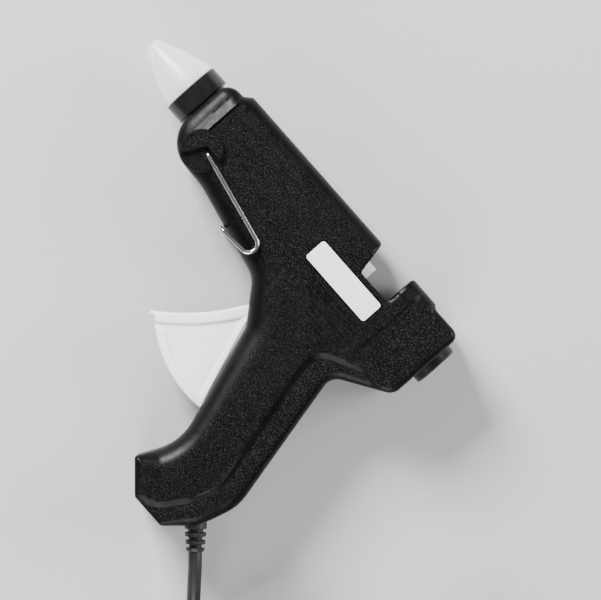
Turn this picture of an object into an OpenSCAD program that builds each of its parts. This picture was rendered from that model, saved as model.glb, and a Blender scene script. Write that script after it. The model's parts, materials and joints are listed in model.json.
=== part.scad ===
// Hot-melt glue gun lying on its right flank: two-part casing, cone nozzle in a
// silicone boot, melt chamber with a plate heater, trigger-driven stick carriage,
// fold-out wire stand and a mains lead put away in a coil. Millimetres.
// +X runs from the nozzle to the stick inlet, +Y to the top of the gun, +Z to its left flank.

/* [Casing] */
// rear face of the casing, measured back from the nozzle tip
casing_back = 157.8; // [156:0.2:160]
// top of the barrel above the stick axis
barrel_top = 15.2; // [14.8:0.1:16]
// bottom of the handle below the stick axis
handle_drop = 116.4; // [114:0.2:119]
// half of the casing's thickness
half_width = 16; // [15.5:0.1:17]
// wall thickness of the casing
wall = 2.2; // [1.8:0.1:2.6]
// rounding of the casing's long edges
edge_round = 7; // [6:0.2:8]

/* [Nozzle] */
// outer radius of the black ring behind the nozzle boot
ring_r = 11.4; // [11:0.1:12]
// outer radius of the melt chamber
chamber_r = 8; // [7.6:0.1:8.2]
// radius of the chamber's bore, for an 11.2 mm stick
chamber_bore_r = 5.75; // [5.7:0.05:5.9]

/* [Feed] */
// radius of the stick guide's bore
guide_bore_r = 6.1; // [5.9:0.05:6.2]
// half thickness of the trigger
trigger_half = 7; // [6:0.1:7]
// radius of the trigger's lower arc about its pivot
trigger_reach = 46.2; // [45:0.1:46.4]
// full swing of the trigger, in degrees
trigger_swing = 22; // [15:1:22]

/* [Stand] */
// radius of the stand's wire
wire_r = 0.85; // [0.6:0.05:0.9]
// distance from the middle plane to the stand's legs
leg_z = 17.2; // [17:0.1:17.6]

/* [Mains lead] */
// diameter of the mains lead
cord_d = 5.2; // [4.8:0.1:5.6]
// columns of turns in the coil
coil_columns = 4; // [3:1:5]

/* [Hidden] */
$fn = 48;

black_plastic = [0.07, 0.07, 0.075];
white_plastic = [0.93, 0.93, 0.92];
silicone = [0.9, 0.9, 0.88];
steel = [0.62, 0.63, 0.65];
aluminium = [0.75, 0.76, 0.78];
orange_rubber = [0.75, 0.3, 0.18];
cord_black = [0.05, 0.05, 0.05];

// ---- places worked out from the driving dimensions ----
tip_x = -0.5;
collar_end = casing_back + 3.2;
boss_top = half_width + 2.4;
shift = [-(tip_x + collar_end) / 2, (handle_drop - barrel_top) / 2, boss_top];
pivot = [106.4, -31];
link_y = -13.5;
link_lean = trigger_swing / 2;
link_x = pivot.x + (link_y - pivot.y) * tan(link_lean);
link_reach = (link_y - pivot.y) / cos(link_lean);
stand_pivot = [44.5, -11.5];
spring_y = -21.5;
spring_post = [126.5, spring_y];
screw_spots = [[70, -20], [90, -24], [150, -14], [136, -50], [122, -104]];
heel_face = [145.7, -106.85];
heel_angle = -42.4;
relief_out = 10;
carriage_bore_r = guide_bore_r + 0.2;
tail_end = 118.6;
tail_r = 7.3;
clamp_at = [heel_face.x - 16 * cos(heel_angle), heel_face.y - 16 * sin(heel_angle), 0];
notch_floor = 2;

// casing outline, clockwise seen from the left flank: [x, y, corner radius]
casing_corners = [
  [29.4, barrel_top - 3, 6], [37.6, barrel_top - 2.6, 1.5], [40.2, barrel_top, 2.5],
  [143, barrel_top, 1.2], [144.6, barrel_top - 1.4, 1],
  [casing_back, barrel_top - 1.4, 3.5], [casing_back, -18.8, 5.5], [137.4, -32.2, 6],
  [151, -90, 20], [146.5, -106, 20], [137, -handle_drop, 2],
  [122.7, -handle_drop, 1.2], [111.2, -106.4, 1.2], [118.6, -90.5, 22],
  [102.3, -43.3, 8], [90, -29.3, 10], [52, -21.2, 20], [29.4, -20.4, 13.5]];

// the darker back strip of the handle, up to its crease
strip_corners = [
  [165, -20.2, 1], [143, -20.4, 8], [126.3, -29, 9], [126.6, -38, 20], [140.2, -90, 16],
  [136.6, -101, 16], [130, -111.4, 10], [119, -116.6, 1], [119, -125, 1], [165, -125, 1]];

// ---- outlines with rounded corners ----
function unit(v) = v / norm(v);
function flat(p) = [p.x, p.y];
function wrap(list, i) = list[(i + len(list)) % len(list)];
function heading(list, i) = unit(flat(wrap(list, i + 1)) - flat(wrap(list, i)));
function cross2(u, v) = u.x * v.y - u.y * v.x;
function bend(list, i) =
  atan2(cross2(heading(list, i - 1), heading(list, i)), heading(list, i - 1) * heading(list, i));
function tangent_len(list, i) = wrap(list, i)[2] * tan(abs(bend(list, i)) / 2);
function arc_from(list, i) =
  flat(wrap(list, i)) - heading(list, i - 1) * tangent_len(list, i);
function arc_to(list, i) = flat(wrap(list, i)) + heading(list, i) * tangent_len(list, i);
function arc_middle(list, i) =
  let (u = heading(list, i - 1), s = sign(bend(list, i)))
  arc_from(list, i) + [-u.y, u.x] * s * wrap(list, i)[2];
function angle_of(v) = atan2(v.y, v.x);
function polar(c, r, a) = [c.x + r * cos(a), c.y + r * sin(a)];
function arc_points(c, r, a0, a1, n) = [for (k = [0:n]) polar(c, r, a0 + (a1 - a0) * k / n)];
function rounded(list, n = 6) = [for (i = [0:len(list) - 1])
  let (c = arc_middle(list, i), a = angle_of(arc_from(list, i) - c))
  each arc_points(c, wrap(list, i)[2], a, a + bend(list, i), n)];
function moved_in(list, t) = [for (i = [0:len(list) - 1])
  let (u = heading(list, i - 1), v = heading(list, i))
  let (nu = [u.y, -u.x], nv = [v.y, -v.x], p = flat(list[i]) + (nu + nv) * t / (1 + nu * nv))
  [p.x, p.y, bend(list, i) < 0 ? max(list[i][2] - t, 0.5) : list[i][2]]];

// ---- shared shapes ----
module lay() translate(shift) children();
module about_x() rotate([0, 90, 0]) children();
module revolved(profile) rotate([0, 90, 0]) rotate_extrude($fn = 64)
  polygon([for (p = profile) [p.y, p.x]]);
module tube_x(x0, x1, r_out, r_in) revolved([[x0, r_in], [x0, r_out], [x1, r_out], [x1, r_in]]);
module rod_x(x0, x1, r) translate([x0, 0, 0]) about_x() cylinder(h = x1 - x0, r = r);
// twelve-sided passage whose flats are r from the axis
module facet_x(x0, x1, r) translate([x0, 0, 0]) about_x()
  cylinder(h = x1 - x0, r = r / cos(15), $fn = 12);
module block(x0, x1, y0, y1, z0, z1) translate([x0, y0, z0]) cube([x1 - x0, y1 - y0, z1 - z0]);
module both_sides() {
  children();
  mirror([0, 0, 1]) children();
}
module round_slab(w, h, r, t) linear_extrude(t) polygon(rounded(
  [[-w / 2, h / 2, r], [w / 2, h / 2, r], [w / 2, -h / 2, r], [-w / 2, -h / 2, r]], 4));

// a coil of wire as one swept tube
function coil_point(x0, x1, r, turns, a) =
  [x0 + (x1 - x0) * a / (360 * turns), r * cos(a), r * sin(a)];
function wire_coil(x0, x1, r, turns, steps) =
  [for (k = [0:turns * steps]) coil_point(x0, x1, r, turns, k * 360 / steps)];
function along(path, i) = unit(path[min(i + 1, len(path) - 1)] - path[max(i - 1, 0)]);
function swept_points(path, r, sides, across) = [for (i = [0:len(path) - 1])
  let (t = along(path, i), u = unit(cross(t, across)), v = cross(t, u))
  for (k = [0:sides - 1]) path[i] + r * (cos(k * 360 / sides) * u + sin(k * 360 / sides) * v)];
function swept_sides(n, m) = [for (i = [0:n - 2], k = [0:m - 1])
  [i * m + k, i * m + (k + 1) % m, (i + 1) * m + (k + 1) % m, (i + 1) * m + k]];
// across is any direction that the path never runs along
module swept(path, r, sides, across = [0, 0, 1]) polyhedron(
  swept_points(path, r, sides, across),
  concat([[for (k = [sides - 1:-1:0]) k]], swept_sides(len(path), sides),
    [[for (k = [0:sides - 1]) (len(path) - 1) * sides + k]]));
// points between the chosen ones, on a smooth curve through them
function smooth_at(p, i, f) = let (a = p[max(i - 1, 0)], b = p[i], c = p[i + 1],
  d = p[min(i + 2, len(p) - 1)]) 0.5 * (2 * b + (c - a) * f
  + (2 * a - 5 * b + 4 * c - d) * f * f + (3 * b - a - 3 * c + d) * f * f * f);
function smooth(p, n) = concat([for (i = [0:len(p) - 2], k = [0:n - 1]) smooth_at(p, i, k / n)],
  [p[len(p) - 1]]);

// ---- casing ----
module edge_section(r) difference() {
  translate([-1, -r]) square([r + 1, r + 1]);
  translate([r, -r]) circle(r);
}
// rounds the flank's edge from corner i to the next, run on past both ends
module edge_cut(list, i, before, after) {
  a = flat(list[i]);
  b = flat(list[i + 1]);
  back = unit(a - b);
  start = b - back * after;
  translate([start.x, start.y, half_width]) rotate(angle_of(back)) rotate([90, 0, 90])
    linear_extrude(norm(b - a) + before + after) edge_section(edge_round);
}
module outer_half() difference() {
  linear_extrude(half_width) polygon(rounded(casing_corners));
  edge_cut(casing_corners, 2, 14, 18);
  edge_cut(casing_corners, 7, -3, 4);
  edge_cut(casing_corners, 9, 2, 4);
  edge_cut(casing_corners, 13, 0, 7);
  edge_cut(casing_corners, 15, 5, 28);
}
module stand_boss() difference() {
  translate([42.5, -12.4, 6]) cylinder(h = boss_top - 6, r = 8);
  translate([stand_pivot.x, stand_pivot.y, half_width])
    linear_extrude(4) polygon([[-2, 1.6], [30, -3.5], [30, -40], [-22, -40]]);
}
module cavity_half() {
  linear_extrude(half_width - edge_round * 0.8) polygon(rounded(moved_in(casing_corners, wall)));
  linear_extrude(half_width - wall) polygon(rounded(moved_in(casing_corners, edge_round * 0.8)));
}
module notch(grow) linear_extrude(80, center = true) polygon([
  [115.6 - grow, notch_floor - grow], [112.4 - grow, barrel_top + 3],
  [130.5 + grow, barrel_top + 3], [130.5 + grow, notch_floor - grow]]);
module trigger_slot() linear_extrude(2 * trigger_half + 0.7, center = true)
  polygon([[70, -35], [101, -35], [104.4, -41], [119.4, -78.2], [70, -78.2]]);
// walls, ribs and pillars that stand inside each half
module fittings(pillar_r) {
  for (p = screw_spots) translate([p.x, p.y, 0]) cylinder(h = half_width, r = pillar_r);
  translate([pivot.x, pivot.y, trigger_half + 0.5]) cylinder(h = 9, r = 4.5);
  translate([spring_post.x, spring_post.y, 0]) cylinder(h = half_width, r = 1.5);
  block(36.4, 37.8, -6, 13, 0, half_width);
  block(72.6, 74, -6, 14, 0, half_width);
  block(90, 111.5, 2.3, 4.3, 9.6, half_width);
  block(90, 111.5, -4.3, -2.3, 9.6, half_width);
  translate(clamp_at) rotate(heel_angle) clamp_posts();
}
module clamp_posts() for (s = [-1, 1]) translate([0, 6 * s, 4.2]) cylinder(h = half_width - 4.2, r = 2.6);
module surface_cuts() {
  for (k = [0:9]) {
    left = 104.5 + k * 1.75 + (k < 3 ? k * 0.4 : 1.2);
    right = 130 - (k < 4 ? 0 : (k - 4) * 1.15);
    block(left, right, -13.3 - 2.03 * k, -12.4 - 2.03 * k, half_width - 0.5, half_width + 1);
  }
  block(38.3, 39.1, -8, 9.5, half_width - 0.8, half_width + 1);
  block(136.5, 170, -20, 30, half_width - 0.6, half_width + 1);
  translate([0, 0, half_width - 1]) linear_extrude(4) polygon(rounded(strip_corners));
  translate([stand_pivot.x, stand_pivot.y, 8]) cylinder(h = 20, r = wire_r + 0.05);
}
module common_cuts() {
  notch(0);
  trigger_slot();
  facet_x(92, tail_end + 1, tail_r + 0.3);
  facet_x(92, 150, 6.4);
  rod_x(20, 34, 9.9);
  facet_x(150, 165, 8.2);
  translate([heel_face.x, heel_face.y, 0]) rotate(heel_angle) rod_x(-6, 10, 4.35);
  rod_x(34, 75, chamber_r + 0.3);
  translate([pivot.x, pivot.y, -13.2]) cylinder(h = 26.4, r = 2.02);
}
// the flank side is +Z; children are what only this half has cut away
module casing_half(pillar_r) difference() {
  union() {
    outer_half();
    stand_boss();
  }
  difference() {
    cavity_half();
    fittings(pillar_r);
    notch(wall);
  }
  surface_cuts();
  common_cuts();
  children();
}
module casing_left() color(black_plastic) lay() casing_half(3.6) {
  union() {
    for (p = screw_spots) translate([p.x, p.y, -1]) cylinder(h = 9, r = 1.3);
    translate([113.75, -5, half_width - 0.4]) round_slab(33.4, 10.1, 1.6, 3);
  }
}
module casing_right() color(black_plastic) lay() mirror([0, 0, 1]) casing_half(4.6) {
  for (p = screw_spots) translate([p.x, p.y, -1]) {
    cylinder(h = 20, r = 1.7);
    translate([0, 0, 9]) cylinder(h = 20, r = 3.1);
  }
}
module casing_screws() color(steel) lay() for (p = screw_spots) translate([p.x, p.y, 0]) {
  translate([0, 0, -8]) cylinder(h = 15, r = 1.3);
  difference() {
    translate([0, 0, -10.2]) cylinder(h = 2.2, r = 2.8);
    for (a = [0, 90]) rotate(a) translate([-1.8, -0.4, -11]) cube([3.6, 0.8, 2]);
  }
}
module rating_label() color([0.85, 0.87, 0.88]) lay()
  translate([113.75, -5, half_width - 0.4]) round_slab(33.2, 9.9, 1.5, 0.25);

// ---- nozzle and melt chamber ----
module front_ring() color(black_plastic) lay() revolved([
  [21.5, 9.75], [21.5, ring_r - 0.3], [21.8, ring_r], [28.8, ring_r], [29.1, ring_r - 0.3],
  [29.1, 9.8], [33, 9.8], [33, 8.25], [27.2, 8.25], [27.2, 9.75]]);
module nozzle_boot() color(silicone) lay() revolved([
  [tip_x, 1.5], [tip_x, 2], [tip_x + 0.3, 2.5], [tip_x + 1, 3.1], [3.75, 4.9], [7.5, 6.6],
  [15, 9.6], [21.3, 11.1], [21.3, 9.6], [27, 9.6], [27, 8.25], [21.3, 8.25], [15, 7.4],
  [7.5, 4.7], [3.75, 3.1], [1.5, 1.5]]);
module nozzle() color(aluminium) lay() revolved([
  [0.2, 0.75], [0.2, 1.35], [1.5, 1.35], [3.75, 2.9], [7.5, 4.5], [15, 7.2], [20, 7.6],
  [23.6, 7.6], [23.6, 5.85], [30, 5.85], [30, 2.6], [6, 2.6], [3.5, 0.75]]);
module check_ball() color(steel) lay() translate([6.4, 0, 0]) sphere(2);
module check_spring() color(steel) lay() swept(wire_coil(8.9, 26, 1.9, 7, 10), 0.25, 6, [1, 0, 0]);
module melt_chamber() color(aluminium) lay() difference() {
  union() {
    tube_x(24, 80, chamber_r, 5);
    block(40, 66, -13.6, -5, -6.5, 6.5);
  }
  rod_x(20, 30.2, 5.9);
  rod_x(30, 90, chamber_bore_r);
  block(39, 67, -12.5, -9.4, -5.4, 5.4);
}
module chamber_mount(x0, r) difference() {
  tube_x(x0, x0 + 2.6, r, chamber_r + 0.05);
  for (a = [45:90:315]) rotate([a, 0, 0]) translate([x0 - 1, r, 0]) cube([9, 2.4, 2], center = true);
}
module chamber_mount_front() color(orange_rubber) lay() chamber_mount(33.5, 10);
module chamber_mount_rear() color(orange_rubber) lay() chamber_mount(69.9, 12.4);
module ptc_heater() color([0.75, 0.72, 0.66]) lay() {
  block(43, 62, -12, -9.9, -4.8, 4.8);
  both_sides() block(61, 67.6, -11.2, -10.7, 2, 4);
}
module heater_film() color([0.75, 0.5, 0.15]) lay() difference() {
  block(42, 63, -12.3, -9.6, -5.1, 5.1);
  block(41, 64, -12.05, -9.85, -4.85, 4.85);
}
module heater_clip() color(steel) lay() difference() {
  block(46, 60, -14.6, -7.2, -7.5, 7.5);
  block(45, 61, -13.7, -6, -6.6, 6.6);
}
module inlet_sleeve() color(orange_rubber) lay() revolved([
  [74.5, chamber_r + 0.05], [74.5, 9.6], [81, 9.6], [84, 8.2], [91, 7.9], [91, 5.9],
  [80.3, 5.9], [80.3, chamber_r + 0.05]]);
module sleeve_clamp() color(steel) lay() {
  tube_x(76, 79, 10.4, 9.65);
  block(76, 79, 10, 12.2, -1.6, 1.6);
}

// ---- stick feed ----
module feed_carriage() color(white_plastic) lay() difference() {
  union() {
    tube_x(100.5, 109.5, 9, carriage_bore_r);
    tube_x(109, tail_end, tail_r, carriage_bore_r);
    both_sides() block(101.5, 109, -2, 2, 8.6, 12.6);
    both_sides() block(link_x - 3.4, link_x + 2.8, link_y - 3, -5.6, 3.2, 6.2);
  }
  rod_x(90, 120, carriage_bore_r);
  translate([link_x, link_y, -9]) cylinder(h = 18, r = 1.52);
}
module stick_grip() color(steel) lay() difference() {
  tube_x(99.2, 100.4, 8.8, 5.9);
  for (a = [0:30:330]) rotate([a, 0, 0]) translate([98, 5.8, -0.5]) cube([4, 0.9, 1]);
}
module link_pin() color(steel) lay() translate([link_x, link_y, -6.2]) cylinder(h = 12.4, r = 1.5);
front_curve = 85;
rim_top = [95.6, -39.4];
rim_tip = [74.4, -66];
// the finger curve hollows the rim between its two ends
function curve_centre(a, b, r) = let (u = unit(b - a), h = sqrt(r * r - pow(norm(b - a) / 2, 2)))
  (a + b) / 2 + [u.y, -u.x] * h;
rim_centre = curve_centre(rim_top, rim_tip, front_curve);
function rim_arc(r, a0, a1) = arc_points(rim_centre, r, a0, a1, 10);
rim_a0 = angle_of(rim_top - rim_centre);
rim_a1 = angle_of(rim_tip - rim_centre);
module trigger_plate() {
  translate(pivot) circle(5);
  polygon(concat(
    [[104, -26.5], [99.6, -34], [97.6, -36]], rim_arc(front_curve, rim_a0, rim_a1),
    [[74.8, -67.3]], arc_points(pivot, trigger_reach, 230.5, 284.5, 12), [[111.2, -32]]));
}
// thinner web between the rims of the finger part
module trigger_web() polygon(concat(
  [[99.6, -42.4]], rim_arc(front_curve + 3.6, rim_a0 + 0.6, rim_a1 - 2.2),
  arc_points(pivot, trigger_reach - 3.3, 239, 275.8, 10)));
module trigger_arm() difference() {
  union() {
    translate(pivot) rotate(-link_lean) translate([-3.4, 0]) square([6.8, link_reach]);
    translate([link_x, link_y]) circle(3.4);
    polygon([[106, -27], [110, -19.6], [113.4, -19.6], [113.4, -23.4], [110, -29]]);
  }
  translate(pivot) rotate(-link_lean) {
    for (d = [-0.7, 0.3]) translate([0, link_reach + d]) circle(1.75);
    translate([-1.75, link_reach - 0.7]) square([3.5, 1]);
  }
  translate([112.2, spring_y]) circle(0.7);
}
module trigger() color(white_plastic) lay() difference() {
  union() {
    translate([0, 0, -trigger_half]) linear_extrude(2 * trigger_half) trigger_plate();
    translate([0, 0, -2.6]) linear_extrude(5.2) trigger_arm();
  }
  both_sides() translate([0, 0, trigger_half - 1.2]) linear_extrude(3) trigger_web();
  translate([pivot.x, pivot.y, -20]) cylinder(h = 40, r = 2.06);
}
module trigger_pin() color(steel) lay()
  translate([pivot.x, pivot.y, -13]) cylinder(h = 26, r = 2);
module return_spring() color(steel) lay() translate([0, spring_y, 0])
  swept(wire_coil(114.2, 124.6, 2.4, 7, 10), 0.35, 6, [1, 0, 0]);
module rear_guide() color(black_plastic) lay() revolved([
  [133, guide_bore_r], [133, 8], [152, 8], [152, 9.2], [154.4, 9.2], [154.4, 8],
  [casing_back + 0.2, 8], [casing_back + 0.2, 8.9], [collar_end - 0.6, 8.9],
  [collar_end, 8.3], [collar_end, guide_bore_r + 0.6], [collar_end - 0.6, guide_bore_r]]);

// ---- stand ----
bend_centre = [80, -22.15];
bend_r = 3.26;
foot_end = [69, -26.1];
function fillet(a, b, c, r, n) = let (u = unit(a - b), v = unit(c - b),
  half = acos(u * v) / 2, o = b + unit(u + v) * r / sin(half),
  p = b + u * r / tan(half) - o, q = b + v * r / tan(half) - o)
  [for (k = [0:n]) o + r * unit(p * (1 - k / n) + q * k / n)];
knee = [stand_pivot.x, stand_pivot.y, leg_z];
leg_pin = [knee.x, knee.y, 11.5];
foot = [foot_end.x, foot_end.y, leg_z];
hook = [for (p = arc_points(bend_centre, bend_r, 80, -94, 12)) [p.x, p.y, leg_z]];
half_stand = concat([leg_pin], fillet(leg_pin, knee, hook[0], 1.6, 4), hook,
  fillet(hook[12], foot, [foot.x, foot.y, 0], 1.8, 4));
stand_path = concat(half_stand,
  [for (i = [len(half_stand) - 1:-1:0]) [half_stand[i].x, half_stand[i].y, -half_stand[i].z]]);
module stand_wire() color(steel) lay() swept(stand_path, wire_r, 10, [1, 0.35, 0.9]);

// ---- wiring inside ----
live_route = [[68, -11, 3], [70.2, -13.6, 5.8], [74.4, -15.2, 8.4], [79, -16.5, 10.4],
  [90, -17, 11], [102, -20, 11.2], [112, -24, 11], [121, -33, 10.4], [127, -45, 10],
  [131, -60, 9.6], [133.8, -72, 8.6], [134.4, -82, 5.4], [132.8, -87.8, 2.6], [130.9, -91.4, 1.4]];
function other_side(route) = [for (p = route) [p.x, p.y, -p.z]];
module lead_wire_live() color([0.55, 0.12, 0.08]) lay() swept(smooth(live_route, 2), 0.8, 8);
module lead_wire_neutral() color([0.1, 0.25, 0.6]) lay()
  swept(smooth(other_side(live_route), 2), 0.8, 8);
module wire_crimps() color(aluminium) lay() both_sides()
  translate([133.9, -73.5, 8.2]) rotate([0, 0, -88]) rotate([0, 112, 0]) cylinder(h = 5, r = 1.3);
module cord_clamp() color(black_plastic) lay() translate(clamp_at) rotate(heel_angle)
  difference() {
    block(-3, 3, -8.4, 8.4, 2.7, 4.1);
    for (s = [-1, 1]) translate([0, 6 * s, 0]) cylinder(h = 9, r = 1.25);
  }
module clamp_screws() color(steel) lay() translate(clamp_at) rotate(heel_angle)
  for (s = [-1, 1]) translate([0, 6 * s, 0]) {
    translate([0, 0, 1]) cylinder(h = 1.6, r = 2.2);
    translate([0, 0, 2.6]) cylinder(h = 7, r = 1.2);
  }

// ---- mains lead, on the surface that the gun lies on ----
floor_r = cord_d / 2;
module strain_relief() color(cord_black) lay() translate([heel_face.x, heel_face.y, 0])
  rotate(heel_angle) difference() {
    revolved([[-20, 0], [-20, floor_r], [-12, floor_r], [-12, 3.6], [-7, 3.6], [-7, 5],
      [-4.4, 5], [-4.4, 4.2], [0, 4.2], [relief_out, 3.3], [relief_out, 0]]);
    for (s = [0, 180]) rotate([s, 0, 0]) for (k = [0:2])
      block(1.6 + 2.8 * k, 2.9 + 2.8 * k, 2.4, 6, -5, 5);
  }
// the lead falls from the heel to the surface and runs to the coil
free_route = [[72.8, -63, 18.4], [76.5, -66.3, 18.3], [80.1, -69.8, 17.6],
  [83.7, -73.3, 16.3], [87.3, -76.8, 14.3], [90.8, -80.4, 11.9], [94.4, -84, 9.4],
  [97.9, -87.4, 7.1], [101.5, -91, 5.1], [105.1, -94.5, 3.7], [108.7, -98, 2.9],
  [112.4, -101.4, 2.6], [116.1, -104.7, 2.6]];
tail_route = [[177, -77.8, 7.8], [177, -74.3, 7.6], [177, -70.8, 7.1], [177, -67.3, 6.4],
  [177, -63.8, 5.9], [177, -60.3, 5.8], [177, -56.8, 6.1], [177, -53.4, 6.5], [177, -50, 6.8]];
coil_centre = [140.6, -77.8];
coil_outer = 36.4;
coil_in = coil_outer - (coil_columns - 1) * cord_d - floor_r;
coil_out = coil_outer + floor_r;
plug_end = [177, -50, 6.8];
plug_angle = 90;
module power_cord() color(cord_black) {
  swept(free_route, floor_r, 10);
  swept(tail_route, floor_r, 10);
}
module cord_coil() color(cord_black) translate([coil_centre.x, coil_centre.y, 0])
  rotate_extrude($fn = 64) translate([coil_in, 0]) square([coil_out - coil_in, 2 * cord_d]);
module cord_tie() color([0.2, 0.2, 0.2]) translate([coil_centre.x, coil_centre.y, 0]) rotate(140)
  difference() {
    block(coil_in - 1, coil_out + 1, -2, 2, 0, 2 * cord_d + 1);
    block(coil_in, coil_out, -3, 3, 0.8, 2 * cord_d);
  }
module on_plug() translate(plug_end) rotate(plug_angle) children();
module plug_body() color(cord_black) on_plug() {
  revolved([[0, 0], [0, 3.4], [14, 5], [14, 0]]);
  translate([0, 0, -6.8]) linear_extrude(13.6) polygon(rounded([[12, 6, 3], [20, 12, 8],
    [35, 17.6, 3], [38, 17.6, 1.5], [38, -17.6, 1.5], [35, -17.6, 3], [20, -12, 8], [12, -6, 3]], 5));
}
module plug_pins() color(steel) on_plug() for (s = [-1, 1]) translate([0, 9.3 * s, 0]) {
  rod_x(38, 56, 2);
  translate([56, 0, 0]) sphere(2);
}

casing_left();
casing_right();
front_ring();
nozzle_boot();
nozzle();
check_ball();
check_spring();
melt_chamber();
chamber_mount_front();
chamber_mount_rear();
ptc_heater();
heater_film();
heater_clip();
inlet_sleeve();
sleeve_clamp();
feed_carriage();
stick_grip();
link_pin();
trigger();
trigger_pin();
return_spring();
rear_guide();
stand_wire();
rating_label();
casing_screws();
cord_clamp();
clamp_screws();
lead_wire_live();
lead_wire_neutral();
wire_crimps();
strain_relief();
power_cord();
cord_coil();
cord_tie();
plug_body();
plug_pins();
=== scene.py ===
"""A hot-melt glue gun lying on its right flank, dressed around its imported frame.

Shapes are drawn in the gun's own millimetres: x from the nozzle's tip to the rear, y above
the glue stick's axis, z from the parting plane to the left flank. at() turns them into metres
in the shared frame.
"""
import json
import math

import bpy
import numpy as np
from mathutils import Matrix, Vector, geometry


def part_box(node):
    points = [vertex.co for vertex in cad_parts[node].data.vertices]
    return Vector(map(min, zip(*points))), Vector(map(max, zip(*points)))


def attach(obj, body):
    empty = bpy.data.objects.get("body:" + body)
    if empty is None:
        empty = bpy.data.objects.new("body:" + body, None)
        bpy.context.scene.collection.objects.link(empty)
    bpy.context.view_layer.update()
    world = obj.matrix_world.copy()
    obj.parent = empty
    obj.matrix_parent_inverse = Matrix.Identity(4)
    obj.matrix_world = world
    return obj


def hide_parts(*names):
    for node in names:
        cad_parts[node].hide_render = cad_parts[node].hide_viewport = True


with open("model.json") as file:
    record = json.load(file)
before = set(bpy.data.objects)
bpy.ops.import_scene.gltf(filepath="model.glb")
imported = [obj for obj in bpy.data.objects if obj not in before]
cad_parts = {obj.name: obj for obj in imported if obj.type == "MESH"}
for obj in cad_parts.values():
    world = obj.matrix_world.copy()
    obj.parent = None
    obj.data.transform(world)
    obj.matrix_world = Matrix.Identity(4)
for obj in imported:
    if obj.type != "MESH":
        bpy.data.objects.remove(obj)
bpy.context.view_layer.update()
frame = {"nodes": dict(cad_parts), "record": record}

# ---- the gun's own frame ----
ring_low, ring_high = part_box("front_ring")
TIP_X = -0.5
SHIFT = np.array([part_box("nozzle_boot")[0][0] * 1000 - TIP_X,
                  (ring_low[1] + ring_high[1]) * 500, (ring_low[2] + ring_high[2]) * 500])


def at(points):
    """Gun millimetres to metres in the shared frame."""
    return (np.asarray(points, float) + SHIFT) / 1000


def add_object(name, data):
    """A new object in the scene."""
    obj = bpy.data.objects.new(name, data)
    bpy.context.collection.objects.link(obj)
    return obj


# ---- camera: metres in the shared frame ----
CAMERA_HEIGHT = 1.8
SENSOR = 36  # mm
VIEW_WIDTH = 0.2254  # at the parting plane
VIEW_CENTRE = (0.0282, 0.0290)
BARREL_LEAN = 48.6  # degrees


def make_camera():
    """Straight down on the left flank, with the barrel leaning to the picture's upper left."""
    data = bpy.data.cameras.new("camera")
    data.sensor_width = SENSOR
    data.lens = SENSOR * (CAMERA_HEIGHT - SHIFT[2] / 1000) / VIEW_WIDTH
    camera = add_object("camera", data)
    camera.location = (*VIEW_CENTRE, CAMERA_HEIGHT)
    camera.rotation_euler = (0, 0, math.radians(BARREL_LEAN))
    bpy.context.scene.camera = camera


make_camera()


# ---- materials ----
class Nodes:
    """A small helper that adds and links the nodes of one material."""

    def __init__(self, name):
        self.material = bpy.data.materials.new(name)
        self.material.use_nodes = True
        self.tree = self.material.node_tree
        self.shader = self.tree.nodes["Principled BSDF"]
        self.place = self.add("ShaderNodeTexCoord").outputs["Object"]

    def add(self, kind, **values):
        node = self.tree.nodes.new(kind)
        for key, value in values.items():
            setattr(node, key, value)
        return node

    def put(self, value, socket):
        if isinstance(value, bpy.types.NodeSocket):
            self.tree.links.new(value, socket)
        else:
            socket.default_value = value

    def noise(self, scale, detail=2.0, stretch=None):
        """Soft noise with features of about 1 / scale metres."""
        node = self.add("ShaderNodeTexNoise")
        node.inputs["Scale"].default_value = scale
        node.inputs["Detail"].default_value = detail
        place = self.place
        if stretch:
            squeeze = self.add("ShaderNodeMapping")
            squeeze.inputs["Scale"].default_value = stretch
            self.put(place, squeeze.inputs["Vector"])
            place = squeeze.outputs["Vector"]
        self.put(place, node.inputs["Vector"])
        return node.outputs["Fac"]

    def spread(self, value, low, high, to_low=0.0, to_high=1.0):
        """value between low and high, spread over to_low to to_high."""
        node = self.add("ShaderNodeMapRange")
        for name, number in (("From Min", low), ("From Max", high),
                             ("To Min", to_low), ("To Max", to_high)):
            node.inputs[name].default_value = number
        self.put(value, node.inputs["Value"])
        return node.outputs["Result"]

    def mix(self, factor, first, second):
        """The first colour at 0 and the second at 1. The mix node's colour sockets share their
        names with its other kinds, so they go by number."""
        node = self.add("ShaderNodeMix", data_type="RGBA")
        self.put(factor, node.inputs[0])
        self.put(first, node.inputs[6])
        self.put(second, node.inputs[7])
        return node.outputs[2]

    def bump(self, height, distance):
        """Bumps of that height over distance in metres."""
        node = self.add("ShaderNodeBump")
        node.inputs["Distance"].default_value = distance
        self.put(height, node.inputs["Height"])
        return node.outputs["Normal"]

    def finish(self, **sockets):
        """Sets the shader's sockets by name, with _ for a space."""
        for name, value in sockets.items():
            self.put(value, self.shader.inputs[name.replace("_", " ")])
        return self.material


def grey(value):
    return (value, value, value, 1.0)


PAINTED_GLINT_FACING = (0.86, 0.995)  # how squarely a flank faces up where the painted glints start, and are full
PAINTED_GLINT_BAND = (0.56, 0.71)  # where in the grain's noise the painted glints lie


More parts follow.
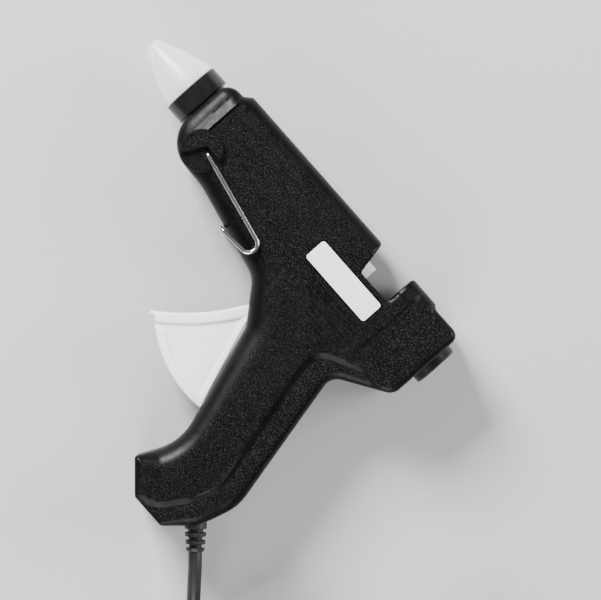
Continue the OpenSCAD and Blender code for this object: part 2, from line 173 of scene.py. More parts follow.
def plastic(name, dark, light, rough, grain, depth, coat=0.0, spots=0.0, painted_glint_grey=0.2,
            shine=0.5):
    """Moulded plastic: a mottled colour, a fine grain of that depth and, if asked, painted glints:
    lighter flecks painted into the colour where a flank faces straight up, as strong as spots."""
    n = Nodes(name)
    cloud = n.spread(n.noise(90, 3), 0.35, 0.65)
    colour = n.mix(cloud, dark, light)
    fine = n.noise(grain, 2)
    # painted glints: lighter grey flecks painted into the colour on up-facing flanks, standing in
    # for grains that catch the light
    if spots:
        facing = n.add("ShaderNodeSeparateXYZ")
        n.put(n.add("ShaderNodeTexCoord").outputs["Normal"], facing.inputs[0])
        level = n.add("ShaderNodeMath", operation="ABSOLUTE")
        n.put(facing.outputs["Z"], level.inputs[0])
        painted_glint = n.add("ShaderNodeMath", operation="MULTIPLY")
        n.put(n.spread(fine, *PAINTED_GLINT_BAND, 0.0, spots), painted_glint.inputs[0])
        n.put(n.spread(level.outputs[0], *PAINTED_GLINT_FACING), painted_glint.inputs[1])
        colour = n.mix(painted_glint.outputs[0], colour, grey(painted_glint_grey))
    return n.finish(
        Base_Color=colour,
        Roughness=n.spread(n.noise(400, 3), 0.3, 0.7, rough - 0.05, rough + 0.07),
        Coat_Weight=coat, Coat_Roughness=0.12, Specular_IOR_Level=shine,
        Normal=n.bump(fine, depth))


def metal(name, dark, light, rough, scratch=(1, 1, 1), grain=1500, depth=0.00002):
    """Bare or plated metal with a drawn or turned grain."""
    n = Nodes(name)
    stripes = n.noise(grain, 3, scratch)
    cloud = n.spread(n.noise(220, 3), 0.3, 0.7)
    return n.finish(
        Base_Color=n.mix(cloud, dark, light), Metallic=1.0,
        Roughness=n.spread(stripes, 0.3, 0.7, rough - 0.06, rough + 0.1),
        Normal=n.bump(stripes, depth))


GLOW_DEPTH = (0.004, 0.003, 0.003)  # metres, for red, green and blue
SILICONE_IOR = 1.41


def rubber(name, dark, light, rough, see_through=0.0, glow=0.0):
    """Moulded silicone or soft PVC, with a faint skin and, if asked, light inside it."""
    n = Nodes(name)
    cloud = n.spread(n.noise(160, 4), 0.3, 0.7)
    skin = n.noise(1100, 3)
    n.shader.inputs["Subsurface Radius"].default_value = GLOW_DEPTH
    n.shader.inputs["Subsurface Scale"].default_value = 1.0
    return n.finish(
        Base_Color=n.mix(cloud, dark, light),
        Roughness=n.spread(skin, 0.3, 0.7, rough - 0.05, rough + 0.08),
        Transmission_Weight=see_through, Subsurface_Weight=glow, IOR=SILICONE_IOR,
        Normal=n.bump(skin, 0.00003))


LOOKS = {
    # the casing's colour carries painted glints: lighter flecks painted on the flanks that face up
    "casing_black": plastic("casing_black", grey(0.0012), grey(0.0024), 0.36, 3000, 0.00004,
                            spots=0.75, painted_glint_grey=0.06, shine=0.12),
    "ring_black": plastic("ring_black", grey(0.004), grey(0.007), 0.22, 900, 0.00001, shine=0.4),
    "boot_silicone": rubber("boot_silicone", (0.80, 0.81, 0.81, 1), (0.9, 0.9, 0.9, 1), 0.3,
                            see_through=0.4, glow=0.5),
    "aluminium_bare": metal("aluminium_bare", grey(0.62), grey(0.78), 0.34, (1, 14, 14)),
    "spring_steel": metal("spring_steel", grey(0.48), grey(0.62), 0.26, (9, 9, 1)),
    "silicone_red": rubber("silicone_red", (0.42, 0.10, 0.05, 1), (0.55, 0.16, 0.08, 1), 0.5),
    "ceramic": plastic("ceramic", (0.5, 0.46, 0.38, 1), (0.68, 0.64, 0.55, 1), 0.6, 1800, 0.00004),
    "amber_film": rubber("amber_film", (0.55, 0.24, 0.03, 1), (0.68, 0.34, 0.05, 1), 0.2, 0.4),
    "carriage_white": plastic("carriage_white", grey(0.68), grey(0.78), 0.34, 900, 0.00002),
    "trigger_white": plastic("trigger_white", (0.86, 0.86, 0.90, 1), (0.91, 0.91, 0.94, 1),
                             0.22, 500, 0.00001, coat=0.5),
    "guide_black": plastic("guide_black", grey(0.006), grey(0.01), 0.34, 1500, 0.00002,
                           shine=0.3),
    "stand_steel": metal("stand_steel", grey(0.42), grey(0.58), 0.14, (14, 14, 1), 900, 0.00001),
    "label_silver": plastic("label_silver", (0.72, 0.75, 0.77, 1), (0.80, 0.83, 0.85, 1),
                            0.3, 2200, 0.000008, coat=0.3),
    "screw_steel": metal("screw_steel", grey(0.30), grey(0.45), 0.3),
    "wire_red": rubber("wire_red", (0.35, 0.02, 0.02, 1), (0.5, 0.04, 0.03, 1), 0.35),
    "wire_blue": rubber("wire_blue", (0.02, 0.08, 0.35, 1), (0.03, 0.12, 0.5, 1), 0.35),
    "crimp_tin": metal("crimp_tin", grey(0.55), grey(0.72), 0.3),
    "relief_black": rubber("relief_black", grey(0.014), grey(0.024), 0.46),
    "cord_pvc": rubber("cord_pvc", grey(0.011), grey(0.019), 0.4),
    "tie_black": plastic("tie_black", grey(0.015), grey(0.03), 0.4, 1800, 0.00003),
    "plug_black": plastic("plug_black", grey(0.01), grey(0.017), 0.42, 1700, 0.00004),
    "pin_nickel": metal("pin_nickel", grey(0.66), grey(0.8), 0.15, (1, 1, 9), 800, 0.00001),
}


# ---- flat outlines ----
GAP = 0.8  # the usual spacing of an outline's points


def unit(v):
    return v / np.linalg.norm(v)


def rounded(corners, step=8.0, closed=True):
    """Corners [x, y, radius, more...] as an outline with round corners. What stands after the
    radius is carried along, and the last corner's arc ends where the first one's starts."""
    rows = [np.array(c, float) for c in corners]
    out = []
    for i, row in enumerate(rows):
        if not closed and i in (0, len(rows) - 1):
            out.append(np.r_[row[:2], row[3:]])
            continue
        here, radius = row[:2], row[2]
        u = unit(here - rows[i - 1][:2])
        v = unit(rows[(i + 1) % len(rows)][:2] - here)
        turn = math.atan2(u[0] * v[1] - u[1] * v[0], u @ v)
        reach = radius * math.tan(abs(turn) / 2)
        start = here - u * reach
        side = math.copysign(1, turn)
        centre = start + np.array([-u[1], u[0]]) * side * radius
        first = math.atan2(*(start - centre)[::-1])
        count = max(2, math.ceil(abs(math.degrees(turn)) / step))
        for k in range(count + 1):
            a = first + turn * k / count
            spot = centre + radius * np.array([math.cos(a), math.sin(a)])
            out.append(np.r_[spot, row[3:]])
    return np.array(out)


def even(line, gap=GAP, closed=True):
    """The same line with points no further apart than gap."""
    out = []
    count = len(line) if closed else len(line) - 1
    for i in range(count):
        a, b = line[i], line[(i + 1) % len(line)]
        parts = max(1, math.ceil(np.linalg.norm((b - a)[:2]) / gap))
        out += [a + (b - a) * k / parts for k in range(parts)]
    if not closed:
        out.append(line[-1])
    return np.array(out)


def arc(centre, radius, start, stop, count):
    """Points of an arc from start to stop, in degrees, with count steps between."""
    angles = np.radians(np.linspace(start, stop, count + 1))
    return np.stack([centre[0] + radius * np.cos(angles), centre[1] + radius * np.sin(angles)], 1)


def circle(centre, radius, count):
    """A closed clockwise circle."""
    return arc(centre, radius, 360, 0, count)[:-1]


def spun(points, degrees):
    """Points turned about the z axis."""
    a = math.radians(degrees)
    p = np.asarray(points, float)
    return np.stack([p[:, 0] * math.cos(a) - p[:, 1] * math.sin(a),
                     p[:, 0] * math.sin(a) + p[:, 1] * math.cos(a), p[:, 2]], 1)


def nearest(points, line, closed=True):
    """(distance, the line's carried values there) from each point to the line."""
    a = line if closed else line[:-1]
    b = np.roll(line, -1, 0) if closed else line[1:]
    distance, carried = [], []
    for chunk in np.array_split(points, max(1, len(points) // 1500)):
        ab = (b - a)[None, :, :2]
        ap = chunk[:, None, :2] - a[None, :, :2]
        t = np.clip((ap * ab).sum(2) / np.maximum((ab * ab).sum(2), 1e-12), 0, 1)
        gap = np.linalg.norm(ap - ab * t[..., None], axis=2)
        best = gap.argmin(1)
        rows = np.arange(len(chunk))
        distance.append(gap[rows, best])
        share = t[rows, best][:, None]
        carried.append(a[best, 2:] * (1 - share) + b[best, 2:] * share)
    return np.concatenate(distance), np.concatenate(carried)


def inside(points, outline):
    """Which points lie inside the closed outline."""
    x, y = points[:, 0][:, None], points[:, 1][:, None]
    ax, ay = outline[:, 0][None], outline[:, 1][None]
    bx, by = np.roll(outline[:, 0], -1)[None], np.roll(outline[:, 1], -1)[None]
    spans = (ay > y) != (by > y)
    with np.errstate(divide="ignore", invalid="ignore"):
        cross_x = ax + (y - ay) * (bx - ax) / (by - ay)
    return (spans & (x < cross_x)).sum(1) % 2 == 1


def ramp(value, low, high):
    """0 below low, 1 above high, and a soft step between."""
    t = np.clip((value - low) / (high - low), 0, 1)
    return t * t * (3 - 2 * t)


def round_drop(share):
    """How far a rounded edge has dropped below its crest, 1 at its foot and 0 at share 1."""
    return 1 - np.sqrt(1 - (1 - np.clip(share, 0, 1)) ** 2)


def inward(outline):
    """Unit normals of a closed clockwise outline, pointing into it."""
    along = np.roll(outline, -1, 0)[:, :2] - np.roll(outline, 1, 0)[:, :2]
    along /= np.linalg.norm(along, axis=1)[:, None]
    return np.stack([along[:, 1], -along[:, 0]], 1)


# ---- meshes: each is (points, faces) ----
LEAST_WALL = 0.15


def flat(points):
    """Zero heights, one for each point."""
    return np.zeros(len(points))


def rim_edges(faces):
    """The edges that only one face has, in the order of the faces."""
    sides = dict.fromkeys((a, b) for f in faces for a, b in zip(f, [*f[1:], f[0]]))
    return [(a, b) for a, b in sides if (b, a) not in sides]


def skin(loops, lines, seeds, height, low=flat):
    """A relief over a flat outline, with walls along every loop. loops[0] is the outline and the
    others are holes. lines are (line, closed) pairs that the faces' edges follow, and seeds are
    loose points. height(points) gives the top, and low(points) the walls' lower edge."""
    points, edges = [], []
    for line, closed in [(loop, True) for loop in loops] + lines:
        start = len(points)
        points += [Vector(p[:2]) for p in line]
        count = len(line) if closed else len(line) - 1
        edges += [(start + i, start + (i + 1) % len(line)) for i in range(count)]
    points += [Vector(p[:2]) for p in seeds]
    plan, _, faces, *_ = geometry.delaunay_2d_cdt(points, edges, [], 0, 1e-4)
    plan = np.array([tuple(p) for p in plan])
    faces = np.array(faces)
    middle = plan[faces].mean(1)
    keep = inside(middle, loops[0])
    for hole in loops[1:]:
        keep &= ~inside(middle, hole)
    faces = faces[keep]
    used = np.unique(faces)
    order = np.full(len(plan), -1)
    order[used] = np.arange(len(used))
    plan, faces = plan[used], order[faces]
    top = height(plan)
    rim = rim_edges(faces)
    feet = sorted({a for edge in rim for a in edge})
    foot = {a: len(plan) + i for i, a in enumerate(feet)}
    bottom = np.minimum(low(plan[feet]), top[feet] - LEAST_WALL)
    verts = np.concatenate([np.c_[plan, top], np.c_[plan[feet], bottom]])
    return verts, [tuple(f) for f in faces] + [(b, a, foot[a], foot[b]) for a, b in rim]


def mirrored(verts, faces):
    """The same mesh on the other side of the parting plane."""
    return verts * [1, 1, -1], [f[::-1] for f in faces]


def joined(*parts):
    """Several (verts, faces) as one."""
    verts, faces, start = [], [], 0
    for v, f in parts:
        verts.append(np.asarray(v, float))
        faces += [tuple(i + start for i in face) for face in f]
        start += len(v)
    return np.concatenate(verts), faces


def walled(verts, faces, thick):
    """A closed shell: the surface, the same surface moved in by thick, and rims between."""
    normal = np.zeros_like(verts)
    for f in faces:
        p = verts[list(f)]
        n = np.cross(p[1] - p[0], p[-1] - p[0])
        if len(f) == 4:
            n = np.cross(p[2] - p[0], p[3] - p[1])
        for i in f:
            normal[i] += n
    rim = sorted(rim_edges(faces))
    ends = sorted({a for edge in rim for a in edge})
    normal[ends, 2] = 0
    length = np.linalg.norm(normal, axis=1)
    normal /= np.maximum(length, 1e-9)[:, None]
    count = len(verts)
    inner = [tuple(i + count for i in f[::-1]) for f in faces]
    sides = [(b, a, a + count, b + count) for a, b in rim]
    return np.concatenate([verts, verts - normal * thick]), list(faces) + inner + sides


def lathe(profile, turns=96):
    """A closed ring of profile points (x, radius) spun about the x axis."""
    angles = np.linspace(0, 2 * math.pi, turns, endpoint=False)
    verts = [(x, r * math.cos(a), r * math.sin(a)) for a in angles for x, r in profile]
    count = len(profile)
    faces = [(i * count + k, i * count + (k + 1) % count,
              (i + 1) % turns * count + (k + 1) % count, (i + 1) % turns * count + k)
             for i in range(turns) for k in range(count)]
    return np.array(verts), faces


def curved(line, count):
    """A smooth curve through the line's points, with count steps between each two."""
    line = np.asarray(line, float)
    p = np.concatenate([line[:1], line, line[-1:]])
    out = []
    for i in range(1, len(p) - 2):
        a, b, c, d = p[i - 1:i + 3]
        for f in np.arange(count) / count:
            out.append(0.5 * (2 * b + (c - a) * f + (2 * a - 5 * b + 4 * c - d) * f ** 2
                              + (3 * b - a - 3 * c + d) * f ** 3))
    return np.array(out + [p[-1]])


def prism(outline, low, high, bevel=0.0):
    """An upright slab with a bevelled top edge. The outline runs clockwise."""
    outline = np.asarray(outline, float)[:, :2]
    count = len(outline)
    inner = outline + inward(outline) * bevel
    levels = [(outline, low), (outline, high - bevel), (inner, high)]
    verts = np.concatenate([np.c_[line, np.full(count, z)] for line, z in levels])
    faces = [(k * count + i, k * count + (i + 1) % count,
              (k + 1) * count + (i + 1) % count, (k + 1) * count + i)
             for k in range(len(levels) - 1) for i in range(count)]
    faces = [f[::-1] for f in faces]
    return verts, faces + [tuple(range(count)), tuple(range(3 * count - 1, 2 * count - 1, -1))]


def piece(name, shape, look, body, node=None, smooth=38, place=at):
    """Makes the object, dresses it, ties it to its body and hides the CAD node it stands for.
    Edges up to smooth degrees are shaded as round."""
    verts, faces = shape
    mesh = bpy.data.meshes.new(name)
    mesh.from_pydata([tuple(p) for p in place(verts)], [], [tuple(map(int, f)) for f in faces])
    mesh.polygons.foreach_set("use_smooth", [True] * len(mesh.polygons))
    mesh.set_sharp_from_angle(angle=math.radians(smooth))
    mesh.materials.append(LOOKS[look])
    obj = add_object(name, mesh)
    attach(obj, body)
    if node:
        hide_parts(node)
    return obj


def wire(name, points, radius, look, body, sides=6, place=at):
    """A round wire or cord along the points, as a curve."""
    data = bpy.data.curves.new(name, "CURVE")
    data.dimensions = "3D"
    data.bevel_depth = radius / 1000
    data.bevel_resolution = sides
    data.use_fill_caps = True
    spline = data.splines.new("POLY")
    spline.points.add(len(points) - 1)
    for spot, p in zip(spline.points, place(points)):
        spot.co = (*p, 1)
    spline.use_smooth = True
    data.materials.append(LOOKS[look])
    obj = add_object(name, data)
    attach(obj, body)
    return obj


# ---- mains lead: the same route as the frame's, in the frame's millimetres ----
CORD_D = 5.2
FREE_ROUTE = [
    (72.8, -63, 18.4), (76.5, -66.3, 18.3), (80.1, -69.8, 17.6), (83.7, -73.3, 16.3),
    (87.3, -76.8, 14.3), (90.8, -80.4, 11.9), (94.4, -84, 9.4), (97.9, -87.4, 7.1),
    (101.5, -91, 5.1), (105.1, -94.5, 3.7), (108.7, -98, 2.9), (112.4, -101.4, 2.6),
    (116.1, -104.7, 2.6)]
TAIL_ROUTE = [
    (177, -77.8, 7.8), (177, -74.3, 7.6), (177, -70.8, 7.1), (177, -67.3, 6.4),
    (177, -63.8, 5.9), (177, -60.3, 5.8), (177, -56.8, 6.1), (177, -53.4, 6.5), (177, -50, 6.8)]
COIL_CENTRE = (140.6, -77.8)
COIL_COLUMNS = 4
COIL_OUTER = 36.4
COIL_START = -132.3  # degrees
COIL_END = 0.0
COIL_WHOLE_TURNS = 6
COIL_CLIMB = 180.0
COIL_STEP = 12
PLUG_END = (177, -50, 6.8)
PLUG_ANGLE = 90


def in_metres(points):
    return np.asarray(points, float) / 1000


def coil_turns():
    """In along the surface, up at the middle, and out again on the second layer."""
    inner = COIL_OUTER - (COIL_COLUMNS - 1) * CORD_D
    total = 360 * COIL_WHOLE_TURNS + COIL_END - COIL_START
    each = (total - COIL_CLIMB) / 2
    out = []
    for turned in np.arange(0, total + 1e-6, total / round(total / COIL_STEP)):
        if turned < each:
            radius, z = COIL_OUTER + (inner - COIL_OUTER) * turned / each, CORD_D / 2
        elif turned < each + COIL_CLIMB:
            f = float(ramp(turned, each, each + COIL_CLIMB))
            radius, z = inner, CORD_D / 2 + CORD_D * f
        else:
            f = (turned - each - COIL_CLIMB) / each
            radius, z = inner + (COIL_OUTER - inner) * f, CORD_D * 1.5
        a = math.radians(COIL_START + turned)
        out.append((COIL_CENTRE[0] + radius * math.cos(a),
                    COIL_CENTRE[1] + radius * math.sin(a), z))
    return np.array(out)


def whole_route():
    return np.concatenate([curved(FREE_ROUTE, 3)[:-1], coil_turns()[:-1], curved(TAIL_ROUTE, 3)])


def on_plug(points):
    """From the plug's own frame, x along its pins, to the shared frame."""
    return (spun(points, PLUG_ANGLE) + PLUG_END) / 1000


PLUG_HALF = 6.8
PLUG_ROUND_IN = 3.2
PLUG_ROUND_DEEP = 3.0
PLUG_CORNERS = [(12, 6, 3), (20, 12, 8), (35, 17.6, 3), (38, 17.6, 1.5),
                (38, -17.6, 1.5), (35, -17.6, 3), (20, -12, 8), (12, -6, 3)]
DIMPLE_X = 25
DIMPLE_R = 7.5
DIMPLE_DEEP = 0.9
# the plug's sleeve, from the cord at x = 0 to inside the body
SLEEVE_LENGTH = 14
SLEEVE_R = (3.4, 5)
SLEEVE_BORE = CORD_D / 2
SLEEVE_RIBS = 4


def plug_sleeve():
    """A closed profile with a groove behind each rib."""
    thin, thick = SLEEVE_R
    profile = [(0, SLEEVE_BORE), (0, thin)]
    for k in range(SLEEVE_RIBS):
        x = 1.4 + 2.8 * k
        r = thin + (thick - thin) * x / SLEEVE_LENGTH
        profile += [(x - 0.3, r), (x, r - 0.7), (x + 1.0, r - 0.6), (x + 1.3, r + 0.2)]
    return profile + [(SLEEVE_LENGTH, thick), (SLEEVE_LENGTH, SLEEVE_BORE)]


def plug_shape():
    """A flat two-pin plug: a waisted body with rounded edges and a ribbed sleeve."""
    outline = even(rounded(PLUG_CORNERS), 1.0)

    def height(p):
        d, _ = nearest(p, outline)
        edge = PLUG_ROUND_DEEP * round_drop(d / PLUG_ROUND_IN)
        off = np.hypot((p[:, 0] - DIMPLE_X) / DIMPLE_R, p[:, 1] / DIMPLE_R)
        return PLUG_HALF - edge - DIMPLE_DEEP * (1 - ramp(off, 0.75, 1.0))

    rings = [outline + inward(outline) * PLUG_ROUND_IN * t
             for t in (0.03, 0.1, 0.2, 0.35, 0.55, 0.8, 1)]
    grid = np.array([(x, y) for x in np.arange(13, 38, 1.0) for y in np.arange(-17, 17.5, 1.0)])
    d, _ = nearest(grid, outline)
    grid = grid[inside(grid, outline) & (d > PLUG_ROUND_IN * 1.1)]
    seeds = np.concatenate(rings + [grid])
    seeds = seeds[inside(seeds, outline)]
    upper = skin([outline], [], seeds, height)
    return joined(upper, mirrored(*upper), lathe(plug_sleeve(), 48))


TIE_ANGLE = 140  # degrees round the coil
TIE_HALF_WIDTH = 2.0
TIE_THICK = 0.8
TIE_CLEAR = 0.9  # from the cord to the strap's outside
TIE_CORNER = 2.2
TIE_LOW = 0.05


def tie_shape():
    """A strap round the coil's section."""
    left = COIL_OUTER - (COIL_COLUMNS - 0.5) * CORD_D - TIE_CLEAR
    right = COIL_OUTER + CORD_D / 2 + TIE_CLEAR
    high = 2 * CORD_D + TIE_CLEAR
    outside = rounded([(x, z, TIE_CORNER) for x, z in (
        (left, high), (right, high), (right, TIE_LOW), (left, TIE_LOW))], 12)
    lining = outside + inward(outside) * TIE_THICK
    count = len(outside)
    verts, faces = [], []
    for y in (-TIE_HALF_WIDTH, TIE_HALF_WIDTH):
        verts += [(x, y, z) for x, z in outside] + [(x, y, z) for x, z in lining]
    for i in range(count):
        j = (i + 1) % count
        a, b, c, d = i, j, count + i, count + j
        e, f, g, h = (k + 2 * count for k in (a, b, c, d))
        faces += [(a, b, f, e), (c, g, h, d), (a, c, d, b), (e, f, h, g)]
    return spun(verts, TIE_ANGLE) + (*COIL_CENTRE, 0), faces


def make_lead():
    route = whole_route()
    plug = piece("mains_plug", plug_shape(), "plug_black", "gun", "plug_body", place=on_plug)
    lead = wire("mains_lead", route, CORD_D / 2, "cord_pvc", "gun", place=in_metres)
    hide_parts("power_cord", "cord_coil")
    tie = piece("coil_tie", tie_shape(), "tie_black", "gun", "cord_tie", place=in_metres)


make_lead()

# ---- casing ----
HALF = 16.0
WALL = 2.0
SEAM = 0.04
# corners as (x, y, corner radius, how far in the edge is rounded, how deep)
CASING = [
    (29.4, 12.2, 6, 6, 4), (37.6, 12.6, 1.5, 6.5, 5.5), (40.2, 15.2, 2.5, 7, 7),
    (143, 15.2, 1.2, 6.5, 6.5), (144.6, 13.8, 1, 3.2, 3), (157.8, 13.8, 3.5, 2.6, 2.4),
    (157.8, -18.8, 5.5, 3, 2.6), (137.4, -32.2, 6, 4, 4), (151, -90, 20, 4.5, 4.5),
    (146.5, -106, 20, 4.5, 4.5), (137, -116.4, 2, 2.4, 2), (122.7, -116.4, 1.2, 1.6, 1.4),
    (111.2, -106.4, 1.2, 3, 2.4), (118.6, -90.5, 22, 8, 8), (102.3, -43.3, 8, 10.5, 8.4),
    (90, -29.3, 10, 10, 8.6), (52, -21.2, 20, 8.5, 8), (29.4, -20.4, 13.5, 8, 4.6)]
# the next two are (x, y, corner radius): the notch for the stick, and the grip strip's crease
NOTCH = [(130.5, 2, 1.2), (130.5, 20, 0.1), (112.0, 20, 0.1), (115.6, 2, 1.2)]
CREASE = [(165, -20.2, 1), (143, -20.4, 8), (126.3, -29, 9), (126.6, -38, 20),
          (140.2, -90, 16), (136.6, -101, 16), (130, -111.4, 10), (119, -116.6, 1), (119, -125, 1)]
# the heel falls away behind this line, and the fall fades out up the handle
FACET = np.array([(119, -115.7), (130.1, -97.4), (132.8, -90), (134, -83)])
FACET_AREA = np.concatenate([FACET, [(170, -83), (170, -125), (119, -125)]])
FACET_WIDE = 7.0
FACET_DEEP = 0.9
FACET_FADE = (-97, -84)
# the trigger's slot in the handle's front, and half its width
SLOT = np.array([(70, -35), (101, -35), (104.4, -41), (119.4, -78.2), (70, -78.2)])
SLOT_Z = 7.35
# where the lead leaves, and the way it points
HEEL = np.array([145.7, -106.85])
HEEL_ANGLE = -42.4
SCREWS = [(70, -20), (90, -24), (150, -14), (136, -50), (122, -104)]
SCREW_HOLE_R = 3.1
SCREW_FLOOR = (6.6, 8.0)
LABEL_AT = (113.75, -5.0)
LABEL_SIZE = (33.2, 9.9, 1.5)
LABEL_SINK = 0.42
NOSE_DEEP = 1.5
NOSE_SLOPE = (35.0, 38.0)
NOSE_END = 38.3
NOSE_GROOVE = ((38.7, 0.75), (0.9, 17.5, 0.4))
NOSE_GROOVE_DEEP = 0.8
REAR_STEP = (136.1, 137.2)
REAR_STEP_DEEP = 0.5
NOTCH_ROUND = 0.8
NOTCH_ROUND_DEEP = 0.7
RIBS = 10
RIB_DEEP = 0.28
# openings over the seam, as (from x, to x, radius): for the ring, the rear guide, the
# carriage's tail and the glue stick
BORES = [(0, 31, 9.9), (157, 200, 8.2), (110, 121, 7.6), (121, 132, 6.4)]
RELIEF_BORE = 4.35

casing_line = even(rounded(CASING))
notch_line = rounded(NOTCH, 20)
crease_line = even(rounded(CREASE, closed=False), closed=False)
strip_area = np.concatenate([crease_line[:, :2], [(165, -125)]])


def box_distance(p, centre, size):
    """Signed distance to a rounded box: size is (width, height, corner radius)."""
    w, h, r = size
    q = np.abs(p - centre) - [w / 2 - r, h / 2 - r]
    return np.linalg.norm(np.maximum(q, 0), axis=1) + np.minimum(q.max(1), 0) - r


def rib_boxes():
    """Moulded grooves under the label, stepping in towards the handle."""
    for k in range(RIBS):
        left = 104.5 + 1.75 * k + (0.4 * k if k < 3 else 1.2)
        right = 130 - max(0, 1.15 * (k - 4))
        y = -12.85 - 2.03 * k
        yield ((left + right) / 2, y), (right - left, 0.9, 0.3)


def groove(p, centre, size):
    """1 on the floor of a moulded groove, 0 outside it, with a soft side between."""
    return ramp(-box_distance(p, centre, size), -0.02, 0.3)


def casing_height(p, labelled):
    """The flank's height over the parting plane."""
    x, y = p[:, 0], p[:, 1]
    d, carried = nearest(p, casing_line)
    wide, deep = carried.T
    z = HALF - deep * round_drop(d / wide)
    low, high = NOSE_SLOPE
    z -= NOSE_DEEP * (1 - np.clip((x - low) / (high - low), 0, 1)) * (x < NOSE_END)
    z -= NOSE_GROOVE_DEEP * groove(p, *NOSE_GROOVE)
    # the grip strip behind the crease, and the rear block's step in front of it
    side, _ = nearest(p, crease_line, closed=False)
    side = np.where(inside(p, strip_area), side, -side)
    step = REAR_STEP_DEEP * ramp(x, *REAR_STEP)
    strip = 0.35 * ramp(side, -0.1, 0.5) + 1.0 * ramp(side, 0.3, 2.6) - 0.1 * ramp(side, 2.4, 3.2)
    z -= np.where(side > -0.1, np.maximum(strip, step * (1 - ramp(side, 0, 1))), step)
    off, _ = nearest(p, FACET, closed=False)
    beyond = inside(p, FACET_AREA) * (1 - ramp(y, *FACET_FADE))
    z -= FACET_DEEP * beyond * np.clip(off / FACET_WIDE, 0, 1)
    d_notch, _ = nearest(p, notch_line)
    z -= NOTCH_ROUND_DEEP * round_drop(d_notch / NOTCH_ROUND)
    for centre, size in rib_boxes():
        z -= RIB_DEEP * groove(p, centre, size)
    if labelled:
        w, h, r = LABEL_SIZE
        recess = -box_distance(p, LABEL_AT, (w + 0.2, h + 0.2, r))
        z -= LABEL_SINK * ramp(recess, -0.05, 0.06)
    return z


def casing_low(p):
    """Where the walls end: at the seam, or at the round and square openings across it."""
    x, y = p[:, 0], p[:, 1]
    low = np.full(len(p), SEAM)

    def opening(where, offset, radius):
        span = np.sqrt(np.maximum(radius ** 2 - offset ** 2, 0))
        low[where] = np.maximum(low, span)[where]

    for start, stop, radius in BORES:
        opening((x > start) & (x < stop), y, radius)
    low[inside(p, SLOT) & (x < 119)] = SLOT_Z
    a = math.radians(HEEL_ANGLE)
    from_heel = p - HEEL
    across = from_heel @ [-math.sin(a), math.cos(a)]
    opening(np.linalg.norm(from_heel, axis=1) < 8, across, RELIEF_BORE)
    return low


def casing_outline():
    """The casing's outline with the stick notch cut into its top edge."""
    keep = ~inside(casing_line[:, :2], notch_line)
    last = [i for i in range(len(keep)) if keep[i] and not keep[(i + 1) % len(keep)]][0]
    rest = np.roll(casing_line[:, :2], -(last + 1), 0)
    rest = rest[np.roll(keep, -(last + 1))]
    top = casing_line[:, 1].max()
    rear, _, high, floor = NOTCH
    front_x = high[0] + (high[1] - top) * (floor[0] - high[0]) / (high[1] - floor[1])
    start_x, stop_x = front_x - 4, 135
    cut = rounded([(start_x, top, 1), (front_x, top, 1.6), floor, rear,
                   (rear[0], top, 1.2), (stop_x, top, 1)], 15, closed=False)
    on_top = np.abs(rest[:, 1] - top) < 0.01
    rest = rest[~on_top | (rest[:, 0] < start_x - 0.3) | (rest[:, 0] > stop_x + 0.3)]
    start = int(np.argmax((np.abs(rest[:, 1] - top) < 0.01) & (rest[:, 0] > stop_x)))
    return even(np.concatenate([np.roll(rest, -start, 0), cut]))


def box_line(centre, size, grow, step=30):
    """A rounded box's outline, grown by that much on every side."""
    w, h, r = size[0] + 2 * grow, size[1] + 2 * grow, max(size[2] + grow, 0.05)
    cx, cy = centre
    return rounded([(cx - w / 2, cy + h / 2, r), (cx + w / 2, cy + h / 2, r),
                    (cx + w / 2, cy - h / 2, r), (cx - w / 2, cy - h / 2, r)], step)


def hex_grid(low, high, pitch):
    """Points of a hexagonal grid between two corners."""
    out = []
    for j, y in enumerate(np.arange(low[1], high[1], pitch * math.sqrt(3) / 2)):
        out += [(x + (j % 2) * pitch / 2, y) for x in np.arange(low[0], high[0], pitch)]
    return np.array(out)


